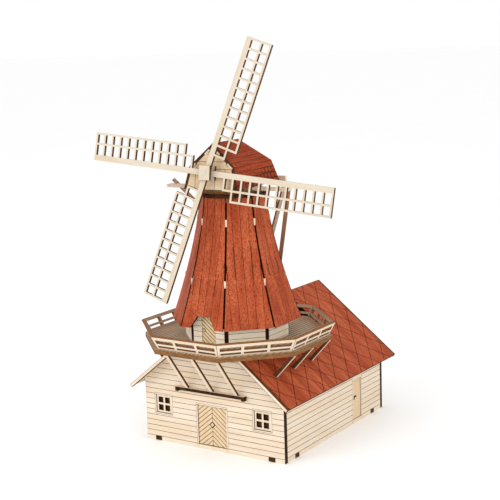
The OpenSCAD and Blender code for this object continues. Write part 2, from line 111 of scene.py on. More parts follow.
def colour(name, description, value):
    """Returns a colour property with its default."""
    return bpy.props.FloatVectorProperty(
        name=name, description=description, subtype="COLOR", size=3, min=0, max=1, default=value)


class WindmillSizes(bpy.types.PropertyGroup):
    """Sizes of the engraving and of the loose trim."""
    groove_width: length("Groove width", "Width of an engraved line", 0.32)
    groove_depth: length("Groove depth", "Depth of an engraved line", 0.18)
    board: length("Clapboard", "Height of a clapboard on the walls", 3.63)
    board_start: length("Lowest joint", "Height of the lowest clapboard joint", 3.1)
    tower_board: length("Tower board", "Height of a board on the tower's base and the cap's rear", 3.6)
    tower_board_start: length("Tower joint", "Height of the lowest tower board joint over the deck", 0.7)
    chevron: length("Chevron board", "Width of the double door's slanted board", 2.39)
    chevron_line: length("Chevron line", "Width of the line between those boards", 0.42)
    chevron_slope: bpy.props.FloatProperty(
        name="Chevron slope", description="Slope of a door's boards", unit="ROTATION",
        default=math.radians(39))
    upper_board: length("Upper door board", "Width of the gallery door's slanted board", 2.05)
    upper_line: length("Upper door line", "Width of the line between those boards", 0.50)
    latch: length("Latch", "Half the side of the double door's latch plate", 1.5)
    upper_latch: length("Upper latch", "Half the side of the gallery door's latch plate", 0.9)
    diamond: length("Diamond tile", "Side of a diamond tile on the barn roof", 12.05)
    diamond_line: length("Diamond line", "Width of the line between diamond tiles", 0.46)
    tile_row: length("Tile row", "Height of a tile row on the cap", 3.75)
    tile: length("Tile", "Width of a tile on the cap", 4.6)
    tile_line: length("Tile line", "Width of the joint between tiles in a row", 0.12)
    gable_board: length("Gable board", "Height of a board on the cap's gable", 4.6)
    gable_upright: length("Gable upright", "Width of an upright board low on the gable", 7.1)
    plank: length("Deck plank", "Width of a deck plank", 2.85)
    plank_line: length("Plank line", "Width of the line between deck planks", 0.80)
    panel_board: length("Panel board", "Width of an upright board on the tower", 5.4)
    panel_line: length("Panel line", "Width of the line between those boards", 0.24)
    trim: length("Trim", "Width of the trim round doors and windows", 1.15)
    outline: length("Outline", "Width of the scorched outline of a barge board", 0.42)


class WindmillColours(bpy.types.PropertyGroup):
    """Colours of the wood, the stain and the laser's burn."""
    birch: colour("Birch", "Face of the bare plywood", (0.745, 0.632, 0.500))
    sail: colour("Sail", "Face of the sails, a paler plywood", (0.60, 0.52, 0.41))
    # painted light: the base boards are bare birch, made paler than it to offset the shade that the flared
    # panels cast on them
    base: colour("Base boards", "Boards of the tower's base, the palest ones", (1.0, 0.91, 0.74))
    door: colour("Door", "Face of the doors, a little yellower", (0.69, 0.53, 0.34))
    # partly painted light: the gallery door is a little yellower, and brighter still to offset the shade that
    # falls on it
    upper_door: colour("Upper door", "Face of the gallery door, the yellowest one", (0.92, 0.74, 0.46))
    deck: colour("Deck", "Face of the gallery deck, greyed by engraving", (0.51, 0.385, 0.275))
    stain: colour("Red stain", "Stain on roofs and tower panels", (0.425, 0.071, 0.022))
    # painted shade: the cap's sheets take the red stain darkened to paint the shade that falls on the cap
    cap_stain: colour("Cap stain", "Stain on the cap's sheets, which took more of it", (0.315, 0.038, 0.008))
    stain_dark: colour("Dark stain", "Pores and joints in the stained sheets", (0.075, 0.008, 0.003))
    caramel: colour("Light burn", "An edge that the laser has barely browned", (0.30, 0.138, 0.052))
    edge: colour("Cut edge", "A laser-cut edge of the plywood", (0.16, 0.066, 0.024))
    char: colour("Char", "The darkest burn of the laser", (0.020, 0.008, 0.004))
    score: colour("Score", "Bottom of an engraved line in bare wood", (0.17, 0.080, 0.036))
    end_grain: colour("End grain", "Sawn end of the windshaft", (0.58, 0.56, 0.54))
    floor: colour("Floor", "Studio floor", (0.975, 0.975, 0.975))


def sizes():
    """Returns the scene's sizes."""
    return bpy.context.scene.windmill_sizes


def tint(name, shares=(1, 1, 1)):
    """Returns a colour property, or a variant of it, as the four numbers of a colour socket."""
    value = getattr(bpy.context.scene.windmill_colours, name)
    return (*(min(1.0, c * share) for c, share in zip(value, shares)), 1.0)


# ---------------- finishes
class Value:
    """A number inside a finish. Sums and products of it add Math nodes."""

    def __init__(self, finish, socket):
        self.finish = finish
        self.socket = socket

    def __add__(self, other):
        return self.finish.math("ADD", self, other)

    def __mul__(self, other):
        return self.finish.math("MULTIPLY", self, other)

    def __rsub__(self, other):
        return self.finish.math("SUBTRACT", other, self)

    def __abs__(self):
        return self.finish.math("ABSOLUTE", self)


class Finish:
    """A material while its nodes are being made."""

    def __init__(self, name):
        self.material = bpy.data.materials.new(name)
        self.material.use_nodes = True
        self.tree = self.material.node_tree
        self.shader = self.tree.nodes["Principled BSDF"]

    def feed(self, socket, value):
        """Links a value to a socket, or sets the socket to a constant."""
        if isinstance(value, Value):
            self.tree.links.new(value.socket, socket)
        else:
            socket.default_value = value

    def node(self, kind, settings, inputs, output=0):
        """Adds a node: its settings first, then its sockets' values or links."""
        made = self.tree.nodes.new(kind)
        for key, value in settings.items():
            setattr(made, key, value)
        for key, value in inputs.items():
            self.feed(made.inputs[key], value)
        return Value(self, made.outputs[output])

    def math(self, operation, *terms):
        """Adds a Math node on its terms."""
        return self.node("ShaderNodeMath", {"operation": operation}, dict(enumerate(terms)))

    def place(self):
        """Where the shaded point lies on the piece."""
        return self.node("ShaderNodeTexCoord", {}, {}, "Object")

    def normal(self):
        """Which way the shaded face looks."""
        return self.node("ShaderNodeTexCoord", {}, {}, "Normal")

    def dot(self, vector, direction):
        """The part of a vector that lies along a direction."""
        return self.node("ShaderNodeVectorMath", {"operation": "DOT_PRODUCT"},
                         {0: vector, 1: direction}, "Value")

    def radial(self):
        """The level direction away from the tower's axis."""
        level = self.node("ShaderNodeVectorMath", {"operation": "MULTIPLY"}, {0: self.place(), 1: (1, 1, 0)})
        return self.node("ShaderNodeVectorMath", {"operation": "NORMALIZE"}, {0: level})

    def rise(self, value, low, high):
        """Goes smoothly from 0 at low to 1 at high."""
        return self.node("ShaderNodeMapRange", {"interpolation_type": "SMOOTHSTEP"},
                         {"Value": value, "From Min": low, "From Max": high})

    def noise(self, space, steps, detail=2.0, shift=0.0):
        """Noise over the grain's space; steps are its turns per millimetre."""
        parts = [axis * step + shift for axis, step in zip(space, steps)]
        at = self.node("ShaderNodeCombineXYZ", {}, dict(zip("XYZ", parts)))
        return self.node("ShaderNodeTexNoise", {},
                         {"Vector": at, "Scale": 1.0, "Detail": detail, "Roughness": 0.6})

    def mix(self, factor, first, second):
        """Blends two colours."""
        return self.node("ShaderNodeMix", {"data_type": "RGBA"}, {0: factor, 6: first, 7: second}, 2)

    def done(self, base, roughness, bump, height=0.12):
        """Connects the colour, the roughness and a bump, and returns the material."""
        self.feed(self.shader.inputs["Base Color"], base)
        self.feed(self.shader.inputs["Roughness"], roughness)
        self.shader.inputs["Specular IOR Level"].default_value = MATT
        raised = self.node("ShaderNodeBump", {},
                           {"Height": bump, "Strength": height, "Distance": BUMP_DEPTH}, "Normal")
        self.feed(self.shader.inputs["Normal"], raised)
        return self.material


def grain_space(finish, grain, face):
    """Three distances in millimetres: along the grain, across it on the sheet, and through the sheet."""
    place = finish.place()
    return [finish.dot(place, v) * (1 / MM) for v in (grain, face.cross(grain), face)]


def wood_layers(finish, space, shift=0.0):
    """Broad bands, fine fibres and pores of a rotary-cut veneer."""
    broad = finish.noise(space, BANDS, 2.0, shift)
    fibre = finish.noise(space, FIBRES, 5.0, shift)
    pores = finish.rise(finish.noise(space, PORES, 2.0, shift), 0.64, 0.74)
    return broad, fibre, pores


def burnt(finish, space, dark=0.5, rim="edge"):
    """Colour of a laser-cut edge: brown with darker streaks through the plies."""
    streak = finish.rise(finish.noise(space, PLIES, 3.0, 4.0), 0.34, 0.66)
    deep = finish.math("MINIMUM", streak * 0.4 + dark, 1.0)
    return finish.mix(deep, tint(rim), tint("char"))


def looks_along(finish, direction, ends):
    """1 on faces that look along a direction, 0 on the others; ends are the cosines between."""
    return finish.rise(finish.dot(finish.normal(), direction), *ends)


def facing(finish, direction, ends=FACE_COS):
    """1 on faces that look along a direction or against it, 0 on a sheet's cut edges."""
    return finish.rise(abs(finish.dot(finish.normal(), direction)), *ends)


def birch_face(finish, space, base="birch", spread=1.0):
    """Colour of a bare face: warm and pale bands, fine fibres and short pores."""
    broad, fibre, pores = wood_layers(finish, space)
    skin = finish.mix(finish.rise(broad, 0.30, 0.70), tint(base, PALE), tint(base, WARM))
    skin = finish.mix(finish.rise(fibre, 0.46, 0.82) * (0.20 * spread), skin, tint("score"))
    skin = finish.mix(pores * (0.16 * spread), skin, tint("score"))
    return skin, fibre, pores


def bare_wood(name, grain, face, base="birch", dark=0.5, scored=None, spread=1.0, rim="edge", back=None,
              groove="score"):
    """Bare birch plywood.

    dark and rim are the burn and the colour of its cut edges, scored is the side that carries the
    engraving, groove the colour of the lines, back the colour of its inner face.
    """
    finish = Finish(name)
    space = grain_space(finish, grain, face)
    skin, fibre, pores = birch_face(finish, space, base, spread)
    if scored is not None:
        skin = finish.mix(looks_along(finish, scored, GROOVE_COS), skin, tint(groove))
    if back:
        inner = finish.mix(fibre * 0.5, tint(back), tint("caramel"))
        skin = finish.mix(looks_along(finish, -face, BACK_COS), skin, inner)
    if rim:
        skin = finish.mix(1 - facing(finish, face), skin, burnt(finish, space, dark, rim))
    return finish.done(skin, fibre * 0.16 + 0.56, fibre + pores * -0.6)


def stained_wood(name, grain, face=None, scored=None, bare_back=False, base="stain"):
    """Red-stained plywood: streaks along the grain, dark pores and blackened edges.

    A sheet without a face is a curved panel round the tower's axis.
    """
    finish = Finish(name)
    space = grain_space(finish, grain, face or grain.orthogonal().normalized())
    broad, fibre, pores = wood_layers(finish, space, 7.0)
    deep = tint(base, DEEP_STAIN)
    skin = finish.mix(finish.rise(broad, 0.22, 0.78) * 0.75, tint(base, LIGHT_STAIN), deep)
    streaks = finish.noise(space, STREAKS, 3.0, 9.0)
    skin = finish.mix(finish.rise(streaks, 0.44, 0.62) * 0.85, skin, deep)
    skin = finish.mix(finish.rise(fibre, 0.50, 0.80) * 0.60, skin, deep)
    flecks = finish.rise(finish.noise(space, FLECKS, 0.0, 2.0), 0.69, 0.75)
    skin = finish.mix(flecks * 0.55, skin, tint("stain_dark"))
    skin = finish.mix(pores * 0.50, skin, tint("stain_dark"))
    if scored is not None:
        skin = finish.mix(looks_along(finish, scored, GROOVE_COS), skin, tint("stain_dark"))
    flat = facing(finish, face) if face else facing(finish, finish.radial(), RADIAL_COS)
    if bare_back:
        skin = finish.mix(looks_along(finish, -face, BACK_COS), skin, birch_face(finish, space)[0])
    skin = finish.mix(1 - flat, skin, burnt(finish, space, 0.5))
    return finish.done(skin, fibre * 0.18 + 0.50, fibre + flecks * -0.7, 0.16)


def burnt_wood(name, dark, roughness, grain=UP, face=FRONT):
    """A piece that the laser has burnt all over."""
    finish = Finish(name)
    space = grain_space(finish, grain, face)
    return finish.done(burnt(finish, space, dark), roughness, finish.noise(space, EVEN))


def mottled_wood(name, steps, first, second, roughness=0.7, grain=UP, face=FRONT, share=1.0, bump=EVEN):
    """Wood that wavers between two colours; steps and bump are noise, share limits the second colour."""
    finish = Finish(name)
    space = grain_space(finish, grain, face)
    skin = finish.mix(finish.noise(space, steps) * share, tint(first), tint(second))
    return finish.done(skin, roughness, finish.noise(space, bump))


def end_wood(name, axis):
    """A round shaft: brown along its length and pale grey on its sawn ends."""
    finish = Finish(name)
    space = grain_space(finish, axis, axis.orthogonal().normalized())
    rings = finish.noise(space, RINGS, 4.0)
    side = finish.mix(rings, tint("edge"), tint("birch"))
    end = finish.mix(rings * 0.25, tint("end_grain"), tint("edge"))
    skin = finish.mix(facing(finish, axis, END_COS), side, end)
    return finish.done(skin, rings * 0.2 + 0.55, rings)


def beam_wood(name, grain, light, dark):
    """A beam that wavers between two colours and is paler on its right side, partly its sheet face against
    its cut edges and partly painted light on that side.
    """
    beam = Finish(name)
    space = grain_space(beam, grain, CAP_FRONT)
    broad, fibre, pores = wood_layers(beam, space)
    skin = beam.mix(beam.rise(broad, 0.35, 0.65) * 0.3 + fibre * 0.6, tint(light), tint(dark))
    # partly painted light: faces that look to the cap's right blend toward birch, as the lit side and as the
    # sheet's face
    skin = beam.mix(looks_along(beam, CAP_RIGHT, (0.3, 0.8)) * 0.55, skin, tint("birch"))
    skin = beam.mix(pores * 0.5, skin, tint("char"))
    return beam.done(skin, fibre * 0.2 + 0.6, fibre)


def floor_paint(name):
    """Matt studio paper with a barely visible mottle."""
    finish = Finish(name)
    mottle = finish.noise(grain_space(finish, RIGHT, UP), MOTTLE, 2.0)
    skin = finish.mix(mottle, tint("floor"), tint("floor", (1.02, 1.02, 1.02)))
    return finish.done(skin, mottle * 0.1 + 0.85, mottle, 0.0)


# ---------------- mesh helpers
def body_of(node):
    """Returns the body that carries a CAD node."""
    return next(body for body, nodes in BODIES.items() if node in nodes)


def show(name, data):
    """Puts an object in the scene."""
    made = bpy.data.objects.new(name, data)
    bpy.context.scene.collection.objects.link(made)
    return made


def show_mesh(name, bm, material):
    """Puts a bmesh in the scene as an object with one material."""
    mesh = bpy.data.meshes.new(name)
    bm.to_mesh(mesh)
    bm.free()
    mesh.materials.append(material)
    return show(name, mesh)


def add_piece(name, bm, material, node):
    """Makes a piece from a bmesh with one material; it rides with the body of the CAD node that carries it.
    """
    bmesh.ops.recalc_face_normals(bm, faces=bm.faces)
    piece = show_mesh(name, bm, material)
    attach(piece, body_of(node))


def finish_node(node, material):
    """Gives a CAD node its material in every slot."""
    shown = frame["nodes"][node]
    for slot in shown.material_slots:
        slot.material = material
    if not shown.material_slots:
        shown.data.materials.append(material)


def skin_of(node, outward):
    """Copies a CAD node's faces where outward(centre, normal) is true."""
    bm = bmesh.new()
    bm.from_mesh(frame["nodes"][node].data)
    bmesh.ops.remove_doubles(bm, verts=bm.verts, dist=WELD)
    bm.normal_update()
    hidden = [f for f in bm.faces if not outward(f.calc_center_median(), f.normal)]
    bmesh.ops.delete(bm, geom=hidden, context="FACES")
    return bm


def flat_skin(node, direction):
    """Copies the outermost flat face of a CAD node on one side."""
    reach = max(v.co.dot(direction) for v in frame["nodes"][node].data.vertices)
    return skin_of(node, lambda centre, normal: normal.dot(direction) > SAME_WAY
                   and centre.dot(direction) > reach - SKIN_REACH)


def slice_at(bm, point, across, within):
    """Cuts the chosen faces with one plane."""
    faces = [f for f in bm.faces if within(f.calc_center_median())]
    edges = {e for f in faces for e in f.edges}
    verts = {v for f in faces for v in f.verts}
    bmesh.ops.bisect_plane(bm, geom=faces + list(edges) + list(verts), dist=WELD,
                           plane_co=point, plane_no=across)


def score(bm, across, pitch, start, width=None, within=lambda centre: True):
    """Engraves parallel lines: slits of the groove's width, at start and every pitch from it."""
    if not bm.faces:
        return
    half = (width or sizes().groove_width) / 2
    reach = [v.co.dot(across) for v in bm.verts]
    first = math.ceil((min(reach) - start) / pitch)
    last = math.floor((max(reach) - start) / pitch)
    for k in range(first, last + 1):
        for side in (-half, half):
            slice_at(bm, across * (start + k * pitch + side), across, within)
    gone = [f for f in bm.faces if within(f.calc_center_median())
            and abs((f.calc_center_median().dot(across) - start + pitch / 2) % pitch - pitch / 2) < half]
    bmesh.ops.delete(bm, geom=gone, context="FACES")


def cut_out(bm, low, high):
    """Removes the part of a sheet inside an upright box."""
    for axis in range(3):
        across = Vector([1.0 if k == axis else 0.0 for k in range(3)])
        for at in (low[axis], high[axis]):
            slice_at(bm, across * at, across, lambda centre: True)
    gone = [f for f in bm.faces if all(low[k] < f.calc_center_median()[k] < high[k] for k in range(3))]
    bmesh.ops.delete(bm, geom=gone, context="FACES")


def lift(bm, height):
    """Turns the cut skin into closed boards that stand proud of the sheet."""
    bmesh.ops.dissolve_limit(bm, angle_limit=FLAT, verts=bm.verts, edges=bm.edges)
    bm.normal_update()
    normals = {tuple(round(c, 8) for c in v.co): v.normal.copy() for v in bm.verts}
    grown = bmesh.ops.extrude_face_region(bm, geom=bm.faces[:], use_keep_orig=True)
    for vert in grown["geom"]:
        if isinstance(vert, bmesh.types.BMVert):
            vert.co += normals[tuple(round(c, 8) for c in vert.co)] * height


def cover(node, name, boards, height, wood, sheet):
    """Stands cut boards proud of a CAD node, and finishes the sheet that shows between them."""
    lift(boards, height)
    add_piece(name, boards, wood, node)
    finish_node(node, sheet)


def stick(bm, low, high, turn=None):
    """Adds a straight bar between two opposite corners, turned about its middle when asked."""
    low, high = Vector(low), Vector(high)
    size = Matrix.Diagonal((*(high - low), 1))
    spin = turn.to_4x4() if turn else Matrix.Identity(4)
    bmesh.ops.create_cube(bm, size=1.0, matrix=Matrix.Translation((low + high) / 2) @ spin @ size)


def soften(bm, amount):
    """Rounds all edges a little."""
    bmesh.ops.bevel(bm, geom=bm.edges[:], offset=amount, segments=1, affect="EDGES", profile=0.5, material=-1)


def octant(centre):
    """Number of the tower side that a point lies on: 0 faces the front, then counted to the right."""
    return round(math.atan2(centre.x, -centre.y) / EIGHTH) % 8


def on_side(k, direction):
    """A direction as the tower's front sees it, turned to side k."""
    return Matrix.Rotation(k * EIGHTH, 3, "Z") @ direction


def outward_level(centre, normal):
    """True on faces that look away from the tower's axis."""
    return normal.dot(Vector((centre.x, centre.y, 0)).normalized()) > 0.6


# ---------------- operators
class WindmillOperator(bpy.types.Operator):
    """Runs the make() of the operator that builds on it"""
    bl_options = {"REGISTER", "UNDO"}

    def execute(self, context):
        self.make()
        return {"FINISHED"}


class WINDMILL_OT_bare_sheets(WindmillOperator):
    """Finish the plain plywood nodes"""
    bl_idname = "windmill.bare_sheets"
    bl_label = "Plain sheets"

    def make(self):
        cap_plate = bare_wood("cap_plate_wood", CAP_RIGHT, UP, dark=0.0, rim="caramel")
        inner_frame = bare_wood("frame_wood", RIGHT, UP, rim=None)
        finishes = {
            "barn_floor": bare_wood("plate_wood", REAR, UP),
            "cap_floor": cap_plate,
            "cap_turntable": cap_plate,
            "window_sashes": bare_wood("sash_wood", UP, FRONT, dark=0.7),
            "ledger": bare_wood("ledger_wood", RIGHT, UP, dark=0.75),
            "tower_frame_lower": inner_frame,
            "tower_frame_upper": inner_frame,
            "tower_top_plate": inner_frame,
            "tower_ribs": burnt_wood("tower_ribs_wood", 0.85, 0.8),
            "curb_ring": burnt_wood("curb_ring_wood", 0.65, 0.8),
            "shaft_bearing": bare_wood("bearing_wood", UP, CAP_FRONT),
            "windshaft": end_wood("shaft_wood", SHAFT),
        }
        for node, material in finishes.items():
            finish_node(node, material)


class WINDMILL_OT_beams(WindmillOperator):
    """Finish the beams, braces and struts"""
    bl_idname = "windmill.beams"
    bl_label = "Beams and struts"

    strut_depth = 2.0 * MM

    def make(self):
        deck_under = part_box("gallery_deck")[0][2]
        for node, out in (("front_struts", FRONT), ("left_struts", LEFT), ("right_struts", RIGHT)):
            low, high = (Vector(corner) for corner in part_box(node))
            run = abs((high - low).dot(out)) - self.strut_depth
            along = (out * run + UP * (deck_under - low.z)).normalized()
            face = along.cross(out.cross(UP)).normalized()
            finish_node(node, bare_wood(node + "_wood", along, face, dark=0.25))
        pale, brown = ("birch", "caramel"), ("caramel", "edge")
        beams = {"long_cross_beam": (CAP_RIGHT, pale), "short_cross_beam": (CAP_RIGHT, pale),
                 "tail_pole": (UP, pale), "long_braces": (UP, brown), "short_braces": (UP, brown)}
        for node, (along, colours) in beams.items():
            finish_node(node, beam_wood(node + "_wood", along, *colours))


class WINDMILL_OT_sails(WindmillOperator):
    """Finish the sails and the hub plates"""
    bl_idname = "windmill.sails"
    bl_label = "Sails"

    def make(self):
        hub = Vector(joint("rotor_spin")["pos_m"])
        for node in ("sails_upright", "sails_level", "hub_plates"):
            mesh = frame["nodes"][node].data
            tip = max((v.co for v in mesh.vertices), key=lambda co: (co - hub).length)
            along = tip - hub
            along = (along - SHAFT * along.dot(SHAFT)).normalized()
            finish_node(node, bare_wood(node + "_wood", along, SHAFT, "sail", dark=0.35, spread=0.5))


class WINDMILL_OT_walls(WindmillOperator):
    """Board the barn's walls with engraved clapboards"""
    bl_idname = "windmill.walls"
    bl_label = "Barn walls"

    trim_gap = 0.6              # line round the trim, as a share of a groove's width

    def make(self):
        z = sizes()
        leaf_low, leaf_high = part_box("double_door")
        side_low, side_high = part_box("side_door")
        sash_low, sash_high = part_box("window_sashes")
        window = sash_high[2] - sash_low[2]
        margin = z.trim + z.groove_width * self.trim_gap
        outer_faces = {"front_wall": FRONT, "rear_wall": REAR, "left_wall": LEFT, "right_wall": RIGHT}
        for node, out in outer_faces.items():
            along = UP.cross(out)
            boards = flat_skin(node, out)
            if node == "front_wall":
                cut_out(boards, (leaf_low[0] - margin, -1, -1),
                        (leaf_high[0] + margin, 1, leaf_high[2] + margin))
                for x in (sash_low[0], sash_high[0] - window):
                    cut_out(boards, (x - margin, -1, sash_low[2] - margin),
                            (x + window + margin, 1, sash_high[2] + margin))
            if node == "right_wall":
                cut_out(boards, (-1, side_low[1] - margin, -1), (1, side_high[1] + margin, 1))
            score(boards, UP, z.board, z.board_start)
            cover(node, node + "_boards", boards, z.groove_depth,
                  bare_wood(node + "_board_wood", along, out, dark=0.2),
                  bare_wood(node + "_sheet", along, out, dark=0.78, scored=out))


class WINDMILL_OT_trim(WindmillOperator):
    """Add the trim round the barn's doors and windows"""
    bl_idname = "windmill.trim"
    bl_label = "Trim"

    shade_inset = 0.4 * MM       # the dark sheets behind the panes, painted shade of the barn's inside
    shade_gap = 0.1 * MM
    shade_thick = 0.3 * MM
    eave_gap = 0.6 * MM         # between the side door's head and the top of the wall

    def make(self):
        face = bare_wood("trim_wood", UP, FRONT, dark=0.2)
        self.doorway(face)
        self.windows(face)
        self.side_doorway()

    def surround(self, bm, x0, x1, z0, z1):
        """Uprights and a head on the front wall, with open corner joints.

        Returns where the trim's face and the wall's face lie.
        """
        z = sizes()
        gap, wide = z.groove_width, z.trim
        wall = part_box("front_wall")[0][1]
        proud = wall - z.groove_depth
        stick(bm, (x0 - wide, proud, z0), (x0 - gap / 2, wall, z1))
        stick(bm, (x1 + gap / 2, proud, z0), (x1 + wide, wall, z1))
        stick(bm, (x0 - wide, proud, z1 + gap), (x1 + wide, wall, z1 + wide))
        return proud, wall

    def doorway(self, face):
        """Trim of the double door, with a threshold down to the ground."""
        z = sizes()
        low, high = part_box("double_door")
        door = bmesh.new()
        proud, wall = self.surround(door, low[0], high[0], low[2], high[2])
        reach = z.trim + z.groove_width
        stick(door, (low[0] - reach, proud, 0), (high[0] + reach, wall, low[2] - z.groove_width))
        add_piece("double_door_trim", door, face, "front_wall")

    def windows(self, face):
        """Trim of the two windows, with sills, and dark sheets behind their panes that paint the shade inside
        the barn.
        """
        z = sizes()
        low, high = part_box("window_sashes")
        side = high[2] - low[2]
        starts = {"left_window_trim": low[0], "right_window_trim": high[0] - side}
        shade_sheets = bmesh.new()
        inset, behind = self.shade_inset, high[1] + self.shade_gap
        for name, x0 in starts.items():
            x1 = x0 + side
            window = bmesh.new()
            proud, wall = self.surround(window, x0, x1, low[2], high[2])
            stick(window, (x0 - z.trim, proud, low[2] - z.trim), (x1 + z.trim, wall, low[2] - z.groove_width))
            add_piece(name, window, face, "front_wall")
            stick(shade_sheets, (x0 + inset, behind, low[2] + inset),
                  (x1 - inset, behind + self.shade_thick, high[2] - inset))
        # painted shade: dark brown sheets stand where the panes show only the shaded inside of the barn
        brown = mottled_wood("window_back_wood", (0.2, 1.2, 1.2), "edge", "char", 0.5)
        add_piece("window_backs", shade_sheets, brown, "window_sashes")

    def side_doorway(self):
        """Trim of the side door, with a head up to the eaves and a threshold."""
        z = sizes()
        gap, wide = z.groove_width, z.trim
        low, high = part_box("side_door")
        wall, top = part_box("right_wall")[1][0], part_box("right_wall")[1][2]
        proud = wall + z.groove_depth
        trim = bmesh.new()
        for y0, y1 in ((low[1] - wide, low[1] - gap / 2), (high[1] + gap / 2, high[1] + wide)):
            stick(trim, (wall, y0, low[2]), (proud, y1, high[2]))
        stick(trim, (wall, low[1] - wide, high[2] + gap), (proud, high[1] + wide, top - self.eave_gap))
        stick(trim, (wall, low[1] - wide, 0), (proud, high[1] + wide, low[2] - gap))
        add_piece("side_door_trim", trim, bare_wood("side_trim_wood", UP, RIGHT, dark=0.2), "right_wall")


class WINDMILL_OT_doors(WindmillOperator):
    """Board the doors with slanted boards and add their latches"""
    bl_idname = "windmill.doors"
    bl_label = "Doors"

    foot = 0.6 * MM             # from the double door's foot to its lowest joint at the seam
    latch_rise = 1.1 * MM       # the latch over the door's middle
    upper_latch_at = (1.5 * MM, 9 * MM)     # across and up from the gallery door's low corner
    knob_reach = 1.1 * MM       # of the side door's knob over its face
    face_lift = 0.4 * MM
    flush = 0.3 * MM            # how far the leaf's face may lie from its plane
    # Corners of the side door's handle, from the door's outer left edge and the ground.
    handle_low = (-0.9 * MM, 1.0 * MM, 18.4 * MM)
    handle_high = (0.1 * MM, 3.9 * MM, 19.2 * MM)
    handle_round = 0.15 * MM
    rim_share, plate_share = (1.12, 1.4), (0.68, 1.9)    # of the latch's size, and of a groove's depth

    def make(self):
        self.double_door()
        self.gallery_door()
        self.side_door()

    def double_door(self):
        """Two leaves, boarded in chevrons."""
        z = sizes()
        run, rise = math.sin(z.chevron_slope), math.cos(z.chevron_slope)
        low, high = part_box("double_door")
        leaf = bare_wood("door_board_wood", UP, FRONT, "door", dark=0.35)
        boards = flat_skin("double_door", FRONT)
        seam = (low[0] + high[0]) / 2
        for side in (-1, 1):
            across = Vector((side * run, 0, rise))
            start = (low[2] + self.foot) * rise + seam * side * run
            score(boards, across, z.chevron, start, z.chevron_line,
                  lambda centre, side=side: (centre.x - seam) * side > 0)
        cover("double_door", "double_door_boards", boards, z.groove_depth, leaf,
              bare_wood("double_door_sheet", UP, FRONT, "door", scored=FRONT, dark=0.8))
        middle = (low[2] + high[2]) / 2 + self.latch_rise
        self.add_latch("double_door", Vector((seam, low[1], middle)), z.latch, leaf)

    def gallery_door(self):
        """One leaf, boarded on the slant."""
        z = sizes()
        run, rise = math.sin(z.chevron_slope), math.cos(z.chevron_slope)
        low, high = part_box("gallery_door")
        boards = flat_skin("gallery_door", FRONT)
        score(boards, Vector((run, 0, rise)), z.upper_board, high[2] * rise, z.upper_line)
        # partly painted light: the leaf's colour is yellower and brightened to offset the shade on this door
        leaf = bare_wood("gallery_door_board_wood", UP, FRONT, "upper_door", dark=0.35)
        cover("gallery_door", "gallery_door_boards", boards, z.groove_depth, leaf,
              bare_wood("gallery_door_sheet", UP, FRONT, "door", scored=FRONT, dark=0.8))
        place = Vector((low[0] + self.upper_latch_at[0], low[1], low[2] + self.upper_latch_at[1]))
        self.add_latch("gallery_door", place, z.upper_latch, leaf)

    def side_door(self):
        """A plain leaf with a dark handle."""
        low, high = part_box("side_door")
        plane = high[0] - self.knob_reach
        face = skin_of("side_door", lambda centre, normal: normal.x > SAME_WAY
                       and abs(centre.x - plane) < self.flush)
        cover("side_door", "side_door_face", face, self.face_lift,
              bare_wood("side_door_face_wood", UP, RIGHT, "door", dark=0.4),
              bare_wood("side_door_wood", UP, RIGHT, "door", dark=0.9))
        corner = Vector((high[0], low[1], 0))
        handle = bmesh.new()
        stick(handle, corner + Vector(self.handle_low), corner + Vector(self.handle_high))
        soften(handle, self.handle_round)
        add_piece("side_door_handle", handle, burnt_wood("handle_wood", 0.8, 0.6, REAR, RIGHT), "side_door")

    def add_latch(self, node, place, half, material):
        """A small diamond plate on a scorched one, which shows as its outline."""
        thick = sizes().groove_depth
        turn = Matrix.Rotation(math.radians(45), 3, "Y")
        name = node + "_latch"
        dark = burnt_wood(name + "_rim_wood", 0.5, 0.7)
        for end, (wide, deep), finish in (("_rim", self.rim_share, dark), ("", self.plate_share, material)):
            plate = bmesh.new()
            reach = Vector((half * wide, deep * thick / 2, half * wide))
            middle = place - Vector((0, deep * thick / 2, 0))
            stick(plate, middle - reach, middle + reach, turn)
            add_piece(name + end, plate, finish, node)


class WINDMILL_OT_barn_roof(WindmillOperator):
    """Engrave diamond tiles into the barn's roof"""
    bl_idname = "windmill.barn_roof"
    bl_label = "Barn roof"

    phases = ((1, 1.3 * MM), (-1, 5.4 * MM))    # of the lines that run either way

    def make(self):
        z = sizes()
        for node, side in (("barn_roof_right", 1), ("barn_roof_left", -1)):
            mesh = frame["nodes"][node].data
            eave = max(v.co.x * side for v in mesh.vertices)
            ridge = max(v.co.z for v in mesh.vertices)
            eave_top = max(v.co.z for v in mesh.vertices if v.co.x * side > eave - WELD * 10)
            down = Vector((side * eave, 0, eave_top - ridge)).normalized()
            out = down.cross(REAR) * side
            skin = flat_skin(node, out)
            corner = Vector((0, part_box(node)[0][1], ridge))
            for sign, phase in self.phases:
                across = (REAR + down * sign).normalized()
                score(skin, across, z.diamond, corner.dot(across) + phase, z.diamond_line)
            cover(node, node + "_tiles", skin, z.groove_depth, stained_wood(node + "_tile_wood", down, out),
                  stained_wood(node + "_sheet", down, out, scored=out, bare_back=True))


class WINDMILL_OT_barge_boards(WindmillOperator):
    """Face the barge boards that cover the roof's cut edges, with a scorched outline"""
    bl_idname = "windmill.barge_boards"
    bl_label = "Barge boards"

    face_lift = 0.06 * MM

    def make(self):
        for node, out in (("front_barge_boards", FRONT), ("rear_barge_boards", REAR)):
            face = flat_skin(node, out)
            bmesh.ops.dissolve_limit(face, angle_limit=FLAT, verts=face.verts, edges=face.edges)
            rim = bmesh.ops.inset_region(face, faces=face.faces[:], thickness=sizes().outline,
                                         use_boundary=True)
            bmesh.ops.delete(face, geom=rim["faces"], context="FACES")
            cover(node, node + "_face", face, self.face_lift, bare_wood(node + "_wood", RIGHT, out, rim=None),
                  bare_wood(node + "_sheet", RIGHT, out, dark=0.3, scored=out))


